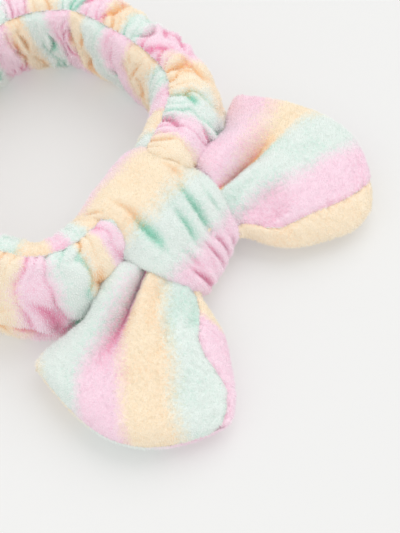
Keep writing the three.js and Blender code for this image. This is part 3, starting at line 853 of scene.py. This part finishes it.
def stitch_tree(material):
    """Small rounded stitches along a line of edges, each lying along the line."""
    t = Tree("hidden_stitches", (("Line", "NodeSocketGeometry", None), ("Pitch", "NodeSocketFloat", 0.003),
                                 ("Stitch length", "NodeSocketFloat", 0.0021),
                                 ("Thread", "NodeSocketFloat", 0.00035)))
    line = t.add("GeometryNodeMeshToCurve", {0: t.given["Line"]})
    even = t.add("GeometryNodeResampleCurve", {"Curve": line.outputs[0], "Length": t.given["Pitch"]},
                 mode="LENGTH")
    tangent = t.add("GeometryNodeInputTangent")
    turn = t.add("FunctionNodeAlignRotationToVector", {"Vector": tangent.outputs[0]}, axis="X")
    bead = t.add("GeometryNodeMeshUVSphere", {"Segments": 8, "Rings": 6, "Radius": 0.5})
    wide = t.maths("MULTIPLY", t.given["Thread"], 2.0)
    size = t.add("ShaderNodeCombineXYZ", {0: t.given["Stitch length"], 1: wide, 2: wide})
    sewn = t.add("GeometryNodeInstanceOnPoints", {"Points": even.outputs[0], "Instance": bead.outputs[0],
                                                  "Rotation": turn.outputs[0], "Scale": size.outputs[0]})
    real = t.add("GeometryNodeRealizeInstances", {0: sewn.outputs[0]})
    dyed = t.add("GeometryNodeSetMaterial", {0: real.outputs[0], "Material": material})
    return t.finish(dyed.outputs[0])


# Cloth lower than this many metres stays bare, and so does cloth that faces further down than this
BARE_FOOT, LOWEST_FACING = 0.003, -0.75
# Points tried in each square of the spacing, so that nearly every free place is filled
POINTS_TRIED = 1.6
# A strand's root: its share of the spacing, and what is added to it in metres
ROOT_SHARE, ROOT_EXTRA = 0.25, 0.0001
# The pile's shared lie; how strongly creases deepen its colour, which is painted shade along with the
# deeper-dyed pile that shows there; and how strongly random patches deepen its dye
PILE_LIE = (-0.12, -0.10, -0.16)
CREASE_SHADE_AND_DYE, PATCH_DYE = 2.4, 1.3
# The pile's stripe colours, and the tones of each: its deeper tones stand for painted crease shade together
# with random dye patches
STRIPE_COLOURS, SHADE_AND_DYE_TONES = 3.0, 3.0


def pile_tree(shades):
    """Tufts of pile: short closed spikes that stand on the cloth, each dyed by the stripe under it and given
    a deeper tone in creases as painted shade.
    """
    t = Tree("plush_pile", (("Cloth", "NodeSocketGeometry", None), ("Spacing", "NodeSocketFloat", 0.0009),
                            ("Length", "NodeSocketFloat", 0.0012),
                            ("Spread", "NodeSocketFloat", 0.34),
                            ("Seed", "NodeSocketInt", 1)))
    seed, spacing = t.given["Seed"], t.given["Spacing"]
    most = t.maths("DIVIDE", POINTS_TRIED, t.maths("MULTIPLY", spacing, spacing))
    root = t.maths("ADD", t.maths("MULTIPLY", spacing, ROOT_SHARE), ROOT_EXTRA)
    place = t.add("ShaderNodeSeparateXYZ", {0: t.add("GeometryNodeInputPosition").outputs[0]}).outputs[2]
    facing = t.add("ShaderNodeSeparateXYZ", {0: t.add("GeometryNodeInputNormal").outputs[0]}).outputs[2]
    high = t.add("FunctionNodeCompare", {0: place, 1: BARE_FOOT}, operation="GREATER_THAN").outputs[0]
    outside = t.add("GeometryNodeInputNamedAttribute", {"Name": "worn"}, data_type="FLOAT").outputs[0]
    shown = t.add("FunctionNodeCompare", {0: outside, 1: 0.5}, operation="GREATER_THAN").outputs[0]
    up = t.add("FunctionNodeCompare", {0: facing, 1: LOWEST_FACING}, operation="GREATER_THAN").outputs[0]
    both = t.add("FunctionNodeBooleanMath", {0: high, 1: up}, operation="AND").outputs[0]
    pick = t.add("FunctionNodeBooleanMath", {0: both, 1: shown}, operation="AND").outputs[0]
    points = t.add("GeometryNodeDistributePointsOnFaces", {
        "Mesh": t.given["Cloth"], "Selection": pick, "Distance Min": spacing,
        "Density Max": most, "Seed": seed}, distribute_method="POISSON")
    cloth = t.add("GeometryNodeInputNamedAttribute", {"Name": "cloth"}, data_type="FLOAT_VECTOR").outputs[0]
    along = t.add("ShaderNodeSeparateXYZ", {0: cloth}).outputs[0]
    drift = t.random(-0.10, 0.10, seed, 3)
    part = t.maths("FRACT", t.maths("DIVIDE", t.maths("ADD", along, drift), STRIPE_COLOURS))
    place_in_set = t.maths("MULTIPLY", part, STRIPE_COLOURS)
    edge = t.maths("ROUND", place_in_set)
    from_edge = t.maths("ABSOLUTE", t.maths("SUBTRACT", place_in_set, edge))
    bled = t.maths("LESS_THAN", from_edge, BLEED)
    whole = t.maths("FLOOR", place_in_set)
    between = t.maths("ADD", t.maths("MODULO", edge, STRIPE_COLOURS), STRIPE_COLOURS)
    stripe = t.maths("ADD", whole, t.maths("MULTIPLY", bled, t.maths("SUBTRACT", between, whole)))
    # Painted shade: the crease under each tuft, with random patches of deeper dye, picks a deeper tone for it
    crease = t.add("GeometryNodeInputNamedAttribute", {"Name": "crease"}, data_type="FLOAT").outputs[0]
    patch = t.add("ShaderNodeTexNoise", {"Scale": 60.0, "Detail": 2.0}).outputs[0]
    dark = t.maths("ADD", t.maths("MULTIPLY", crease, CREASE_SHADE_AND_DYE), t.maths("MULTIPLY", patch, PATCH_DYE))
    tone = t.maths("FLOOR", t.maths("ADD", dark, t.random(-0.95, 0.45, seed, 5)))
    tone = t.maths("MINIMUM", t.maths("MAXIMUM", tone, 0.0), SHADE_AND_DYE_TONES - 1)
    shade = t.maths("ADD", t.maths("MULTIPLY", stripe, SHADE_AND_DYE_TONES), tone)
    marked = t.add("GeometryNodeStoreNamedAttribute", {
        "Geometry": points.outputs[0], "Name": "shade", "Value": shade},
        data_type="FLOAT", domain="POINT").outputs[0]
    lean = t.add("FunctionNodeRandomValue", {0: (-1, -1, -1), 1: (1, 1, 1), 8: seed},
                 data_type="FLOAT_VECTOR").outputs[0]
    lean = t.add("ShaderNodeVectorMath", {0: lean, 3: t.given["Spread"]}, operation="SCALE").outputs[0]
    way = t.add("ShaderNodeVectorMath", {0: points.outputs["Normal"], 1: lean}, operation="ADD").outputs[0]
    way = t.add("ShaderNodeVectorMath", {0: way, 1: PILE_LIE}, operation="ADD").outputs[0]
    turn = t.add("FunctionNodeAlignRotationToVector", {"Vector": way}, axis="Z").outputs[0]
    spike = t.add("GeometryNodeMeshCone", {
        "Vertices": 3, "Radius Top": 0.0, "Radius Bottom": 1.0, "Depth": 1.0}, fill_type="TRIANGLE_FAN")
    length = t.maths("MULTIPLY", t.given["Length"], t.random(0.6, 1.2, seed, 7))
    size = t.add("ShaderNodeCombineXYZ", {0: root, 1: root, 2: length}).outputs[0]
    stood = t.add("GeometryNodeInstanceOnPoints", {"Points": marked, "Instance": spike.outputs[0],
                                                   "Rotation": turn, "Scale": size})
    real = t.add("GeometryNodeRealizeInstances", {0: stood.outputs[0]}).outputs[0]
    mark = t.add("GeometryNodeInputNamedAttribute", {"Name": "shade"}, data_type="FLOAT").outputs[0]
    for number, material in enumerate(shades):
        same = t.add("FunctionNodeCompare", {0: mark, 1: float(number), 12: 0.3}, operation="EQUAL")
        dyed = {0: real, "Selection": same.outputs[0], "Material": material}
        real = t.add("GeometryNodeSetMaterial", dyed).outputs[0]
    return t.finish(real)


# ---------------------------------------------------------------- finishes
def linear(r, g, b):
    """A colour given as 0 to 255 sRGB values, in the linear values that shaders take."""
    def one(c):
        c = c / 255
        return c / 12.92 if c <= 0.04045 else ((c + 0.055) / 1.055) ** 2.4
    return (one(r), one(g), one(b), 1.0)


# How far, in stripe widths, the dye of two stripes bleeds together on each side of their edge
BLEED = 0.12
# The cloth's colour on top and down in the creases, and the colour of the pile's tips; the deep colour in the
# creases is painted shade along with the deeper-dyed pile that shows there
PALE = {PEACH: linear(255, 239, 214), PINK: linear(254, 226, 238), MINT: linear(235, 244, 239)}
TIPS = {PEACH: linear(255, 246, 228), PINK: linear(255, 239, 247), MINT: linear(248, 252, 249)}
DEEP = {PEACH: linear(250, 184, 108), PINK: linear(240, 128, 172), MINT: linear(118, 214, 184)}


# The strands' strengths, one for each of the pile's tones, as the share of the deep colour in each; the
# deeper ones stand for painted crease shade along with random dye patches
STRENGTHS = (("tips", 0.0), ("strands", 0.09), ("roots", 0.42))
DYES = (("peach", PEACH, PEACH), ("pink", PINK, PINK), ("mint", MINT, MINT),
        ("mint_peach", MINT, PEACH), ("peach_pink", PEACH, PINK), ("pink_mint", PINK, MINT))


def new_material(name, settings):
    """A material with one shader, whose sockets are set by name."""
    material = bpy.data.materials.new(name)
    material.use_nodes = True
    tree = material.node_tree
    tree.nodes.clear()
    out = tree.nodes.new("ShaderNodeOutputMaterial")
    shader = tree.nodes.new("ShaderNodeBsdfPrincipled")
    tree.links.new(shader.outputs[0], out.inputs["Surface"])
    for socket, value in settings.items():
        shader.inputs[socket].default_value = value
    return material, tree, shader


def grain(tree, place, scale, detail=2):
    """Noise on the piece's own coordinates."""
    noise_node = tree.nodes.new("ShaderNodeTexNoise")
    noise_node.inputs["Scale"].default_value = scale
    noise_node.inputs["Detail"].default_value = detail
    tree.links.new(place.outputs["Object"], noise_node.inputs["Vector"])
    return noise_node.outputs["Fac"]


def roughen(tree, shader, height, strength, distance):
    """Fine relief from a height, through the shader's normal."""
    bump = tree.nodes.new("ShaderNodeBump")
    bump.inputs["Strength"].default_value = strength
    bump.inputs["Distance"].default_value = distance
    tree.links.new(height, bump.inputs["Height"])
    tree.links.new(bump.outputs[0], shader.inputs["Normal"])


def ramp_of_stripes(tree, colours, soft):
    """A colour ramp of one peach, one pink and one mint stripe, `soft` wide where two meet."""
    ramp = tree.nodes.new("ShaderNodeValToRGB")
    stops = ramp.color_ramp.elements
    edges = [(soft, PEACH), (1 / 3 - soft, PEACH), (1 / 3 + soft, PINK), (2 / 3 - soft, PINK),
             (2 / 3 + soft, MINT), (1 - soft, MINT)]
    meeting = tuple((x + y) / 2 for x, y in zip(colours[PEACH], colours[MINT]))
    stops[0].position, stops[0].color = 0.0, meeting
    stops[1].position, stops[1].color = 1.0, meeting
    for place, which in edges:
        stops.new(place).color = colours[which]
    return ramp


def plush_material():
    """Striped coral fleece: pale pile, stronger colour down in the creases as painted shade along with the
    deeper-dyed pile there, a soft sheen.
    """
    material, tree, shader = new_material("striped_plush", {
        "Roughness": 0.95, "Specular IOR Level": 0.15, "Sheen Weight": 0.55, "Sheen Roughness": 0.55,
        "Sheen Tint": (1.0, 0.97, 0.97, 1.0)})
    add, link = tree.nodes.new, tree.links.new

    def maths(kind, a, b=None):
        node = add("ShaderNodeMath")
        node.operation = kind
        for socket, value in zip(node.inputs, (a, b)):
            if value is None:
                continue
            if isinstance(value, (int, float)):
                socket.default_value = value
            else:
                link(value, socket)
        return node.outputs[0]

    cloth = add("ShaderNodeUVMap")
    cloth.uv_map = "cloth"
    split = add("ShaderNodeSeparateXYZ")
    link(cloth.outputs[0], split.inputs[0])
    place = add("ShaderNodeTexCoord")
    pile_grain = grain(tree, place, 620, 3)
    drift = maths("MULTIPLY", maths("SUBTRACT", pile_grain, 0.5), 0.5)
    turn = maths("FRACT", maths("DIVIDE", maths("ADD", split.outputs[0], drift), STRIPE_COLOURS))
    pale, deep = ramp_of_stripes(tree, PALE, 0.05), ramp_of_stripes(tree, DEEP, 0.05)
    link(turn, pale.inputs[0])
    link(turn, deep.inputs[0])
    # Painted shade: the crease attribute moves the colour towards the deep stripe colours down in the folds,
    # with random patches from the two noises
    crease = add("ShaderNodeAttribute")
    crease.attribute_name = "crease"
    wear = maths("MULTIPLY", maths("SUBTRACT", grain(tree, place, 60), 0.5), 0.45)
    roots = maths("MULTIPLY", maths("SUBTRACT", pile_grain, 0.5), 0.7)
    share = maths("ADD", maths("ADD", maths("MULTIPLY", crease.outputs["Fac"], 0.85), wear), roots)
    clamp = add("ShaderNodeClamp")
    link(share, clamp.inputs[0])
    tone = add("ShaderNodeMix")
    tone.data_type = "RGBA"
    link(clamp.outputs[0], tone.inputs["Factor"])
    link(pale.outputs[0], tone.inputs["A"])
    link(deep.outputs[0], tone.inputs["B"])
    link(tone.outputs["Result"], shader.inputs["Base Color"])
    roughen(tree, shader, grain(tree, place, 1100), 0.55, 0.0009)
    return material


def pile_materials():
    """The strands: each colour in three strengths, palest at the tips of the pile, deepest in the creases,
    where that depth is painted shade.
    """
    shades = []
    for word, first, second in DYES:
        tip = [mix(a, b, 0.5) for a, b in zip(TIPS[first], TIPS[second])]
        root = [mix(a, b, 0.5) for a, b in zip(DEEP[first], DEEP[second])]
        for tone, share in STRENGTHS:
            material, _, _ = new_material(f"{word}_{tone}", {
                "Base Color": [mix(a, b, share) for a, b in zip(tip, root)],
                "Roughness": 0.95, "Specular IOR Level": 0.1, "Sheen Weight": 0.4, "Sheen Roughness": 0.5})
            shades.append(material)
    return shades


def plain_cloth(name, colour, scale, strength):
    """Undyed thread, elastic or wadding, with a fine grain."""
    material, tree, shader = new_material(name, {
        "Base Color": colour, "Roughness": 0.85, "Sheen Weight": 0.2})
    place = tree.nodes.new("ShaderNodeTexCoord")
    roughen(tree, shader, grain(tree, place, scale), strength, 0.0005)
    return material


# ---------------------------------------------------------------- the room
FLOOR_REACH = 6
# Each softbox: strength, spread in degrees and the place it shines from
SOFTBOXES = {"main_softbox": (1.05, 62, (0.75, -0.02, 1.0)),
             "front_softbox": (0.50, 75, (-0.9, 0.1, 0.9))}
STUDIO_LIGHT = 0.70


def aim(thing, target):
    """Turns a light or the camera to look at a point."""
    way = Vector(target) - thing.location
    thing.rotation_euler = way.to_track_quat("-Z", "Y").to_euler()


def paper_floor():
    """A pale sheet with a little light of its own, as a lit table has."""
    r = FLOOR_REACH
    mesh = bpy.data.meshes.new("floor")
    mesh.from_pydata([(-r, -r, 0), (r, -r, 0), (r, r, 0), (-r, r, 0)], [], [(0, 1, 2, 3)])
    floor = place_object("floor", mesh)
    material, _, _ = new_material("paper_floor", {
        "Base Color": linear(200, 200, 199), "Roughness": 0.9, "Emission Color": (1.0, 1.0, 0.985, 1),
        "Emission Strength": 0.27, "Specular IOR Level": 0.1})
    floor.data.materials.append(material)


def studio_light():
    """An even white room and two wide softboxes."""
    world = bpy.data.worlds.new("studio")
    bpy.context.scene.world = world
    world.use_nodes = True
    background = world.node_tree.nodes["Background"]
    background.inputs["Color"].default_value = (1.0, 1.0, 1.0, 1)
    background.inputs["Strength"].default_value = STUDIO_LIGHT
    for name, (strength, spread, place) in SOFTBOXES.items():
        lamp = bpy.data.lights.new(name, "SUN")
        lamp.energy = strength
        lamp.angle = math.radians(spread)
        light = place_object(name, lamp)
        light.location = place
        aim(light, (0, 0, 0))


CAMERA_TURN, CAMERA_RISE, CAMERA_AWAY = -59.4, 56.0, 0.9
CAMERA_AIM = (-0.009, -0.0664, 0.020)
CAMERA_LENS, CAMERA_SENSOR = 162, 36


def camera():
    """A long lens that looks down on the bow from the left front."""
    data = bpy.data.cameras.new("camera")
    data.sensor_fit = "HORIZONTAL"
    data.sensor_width = CAMERA_SENSOR
    data.lens = CAMERA_LENS
    data.clip_start = 0.01
    eye = place_object("camera", data)
    a, e = math.radians(CAMERA_TURN), math.radians(CAMERA_RISE)
    back = (math.sin(a) * math.cos(e), -math.cos(a) * math.cos(e), math.sin(e))
    eye.location = [c + CAMERA_AWAY * b for c, b in zip(CAMERA_AIM, back)]
    aim(eye, CAMERA_AIM)
    bpy.context.scene.camera = eye
    bpy.context.scene.view_settings.view_transform = "Standard"


# ---------------------------------------------------------------- putting it together
# Two lines across each wing, kept with the bodies it lies between: (distance from the middle along X, place
# along Y, height) in metres
WING_BEND_START, WING_BEND_END = (0.022, -0.064, 0.03), (0.046, -0.068, 0.03)
STRETCH_START_X, STRETCH_END_X, STRETCH_HEIGHT = 0.0, 0.0115, 0.025
WING_SEEDS = {"left": 101, "right": 131}
# Flat sizes of the cut cloth in metres, and the area of a wing's shaped panel
OUTER_FLAT, INNER_FLAT, KNOT_FLAT = (0.110, 0.56), (0.056, 0.56), (0.062, 0.185)
WING_FLAT, WING_AREA = (0.115, 0.095), 0.0082
# Spacing of the pile in metres
OUTER_PILE, INNER_PILE, KNOT_PILE, WING_PILE = 0.00084, 0.00066, 0.00056, {"front": 0.00056, "back": 0.00060}


def finish_piece(piece, material, node, body=None, between=None):
    """Dresses a piece, hides the node it stands for, and fixes it to one body, or bakes its place into its
    mesh where it lies between two.
    """
    if material:
        piece.data.materials.append(material)
    if node:
        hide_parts(node)
    if between:
        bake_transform(piece)
    else:
        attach(piece, body)


camera()
paper_floor()
studio_light()
plush = plush_material()
thread = plain_cloth("white_thread", linear(238, 232, 228), 3000, 0.3)
elastic = plain_cloth("woven_elastic", linear(236, 233, 226), 1500, 0.6)
wadding = plain_cloth("white_wadding", linear(244, 244, 242), 250, 0.9)
for name in frame["nodes"]:
    node = bpy.data.objects[name]
    node.data.materials.clear()
    node.data.materials.append(elastic if "elastic" in name else thread)

band_lo, band_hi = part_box("band_outer_panel")
stretch = ("band", "band_rear", (STRETCH_START_X, float(band_lo[1]), STRETCH_HEIGHT),
           (STRETCH_END_X, float(band_hi[1]), STRETCH_HEIGHT))
stitches = stitch_tree(thread)
pile = pile_tree(pile_materials())
outer, outer_face = band_panel("band_outer_plush", "outer", -SEAM_TURN, SEAM_TURN, OUTER_STEPS)
inner, inner_face = band_panel("band_inner_plush", "inner", SEAM_TURN, 360 - SEAM_TURN, INNER_STEPS)
knot, knot_face = knot_wrap()
loop_name = "woven_elastic_loop"
# piece, node it stands for, body or the two bodies it lies between, spacing of the pile, and the cut cloth:
# flat size, flat area where it isn't a rectangle, how it is held and what it lies on
covers = [
    (outer, "band_outer_panel", None, stretch, OUTER_PILE, OUTER_FLAT, None, "gathered", loop_name),
    (inner, "band_inner_panel", None, stretch, INNER_PILE, INNER_FLAT, None, "gathered", loop_name),
    (knot, "knot_wrap", "band", None, KNOT_PILE, KNOT_FLAT, None, "folded", "bow_middle_pleats"),
]
top_line = (outer_face[:, -1] + inner_face[:, 0]) / 2 + [0, 0, 0.2]
bottom_line = (outer_face[:, 0] + inner_face[:, -1]) / 2 + [0, 0, 0.6]
half_way = len(outer_face) // 2
rear_line = np.concatenate([outer_face[half_way], inner_face[half_way]]) + [0, 0.1, 0.3]
off_middle = np.abs(knot_face[:, 0, 1] - knot_face[..., 1].mean())
under_knot = int(np.argmin(off_middle + 9 * knot_face[:, 0, 2]))
knot_line = knot_face[under_knot, 4:-4] + [0, 0, 0.7]
# piece, its line, whether that is a ring, node, body or the two bodies it lies between, and the sheet it is
# sewn to
seams = [
    ("band_top_stitches", top_line, True, "band_top_seam", None, stretch, outer),
    ("band_bottom_stitches", bottom_line, True, "band_bottom_seam", None, stretch, outer),
    ("band_rear_stitches", rear_line, True, "band_rear_seam", None, stretch, None),
    ("knot_stitches", knot_line, False, "knot_seam", "band", None, knot),
]
for word, seed in WING_SEEDS.items():
    wing = WINGS[word]
    bend = ("band", f"{word}_wing", (wing["side"] * WING_BEND_START[0], *WING_BEND_START[1:]),
            (wing["side"] * WING_BEND_END[0], *WING_BEND_END[1:]))
    stuffing = wing_filling(f"{word}_wing_wadding", wing, seed + 40)
    finish_piece(stuffing, wadding, f"{word}_wing_filling", body=f"{word}_wing")
    top, top_face = wing_panel(f"{word}_wing_front_plush", wing, "front", seed)
    under, _ = wing_panel(f"{word}_wing_back_plush", wing, "back", seed + 20)
    for piece, panel in ((top, "front"), (under, "back")):
        covers.append((piece, f"{word}_wing_{panel}", None, bend, WING_PILE[panel], WING_FLAT, WING_AREA,
                       "gathered", stuffing.name))
    sewn_line = wing_seam_line(top_face)
    seams.append((f"{word}_wing_stitches", sewn_line, False, f"{word}_wing_seam", None, bend, top))
finish_piece(bow_middle(), plush, "bow_core", "band")
loop = elastic_ribbon(loop_name, "elastic_loop", ELASTIC_END - 0.5, 0.5 - ELASTIC_END, 0.0, ELASTIC_RIPPLE)
finish_piece(loop, elastic, "elastic_loop", None, stretch)
lap = elastic_ribbon("woven_elastic_overlap", "elastic_join", 0.5 - OVERLAP_REACH, 0.5 + OVERLAP_REACH,
                     OVERLAP_OUT, 0.0)
finish_piece(lap, elastic, "elastic_join", "band_rear", None)
trims = {}
for name, points, ring, node, body, between, sheet in seams:
    sewn = grown(name, stitches, line_of_edges(name, points, ring), {})
    finish_piece(sewn, None, node, body, between)
    if sheet:
        trims.setdefault(sheet.name, []).append(sewn)
for piece, node, body, between, spacing, flat, area, held, rests_on in covers:
    trim = trims.get(piece.name, [])
    tufts = grown(f"{node}_pile", pile, piece.data, {"Spacing": spacing, "Seed": len(node)})
    finish_piece(tufts, None, None, body, between)
    trim.append(tufts)
    finish_piece(piece, plush, node, body, between)
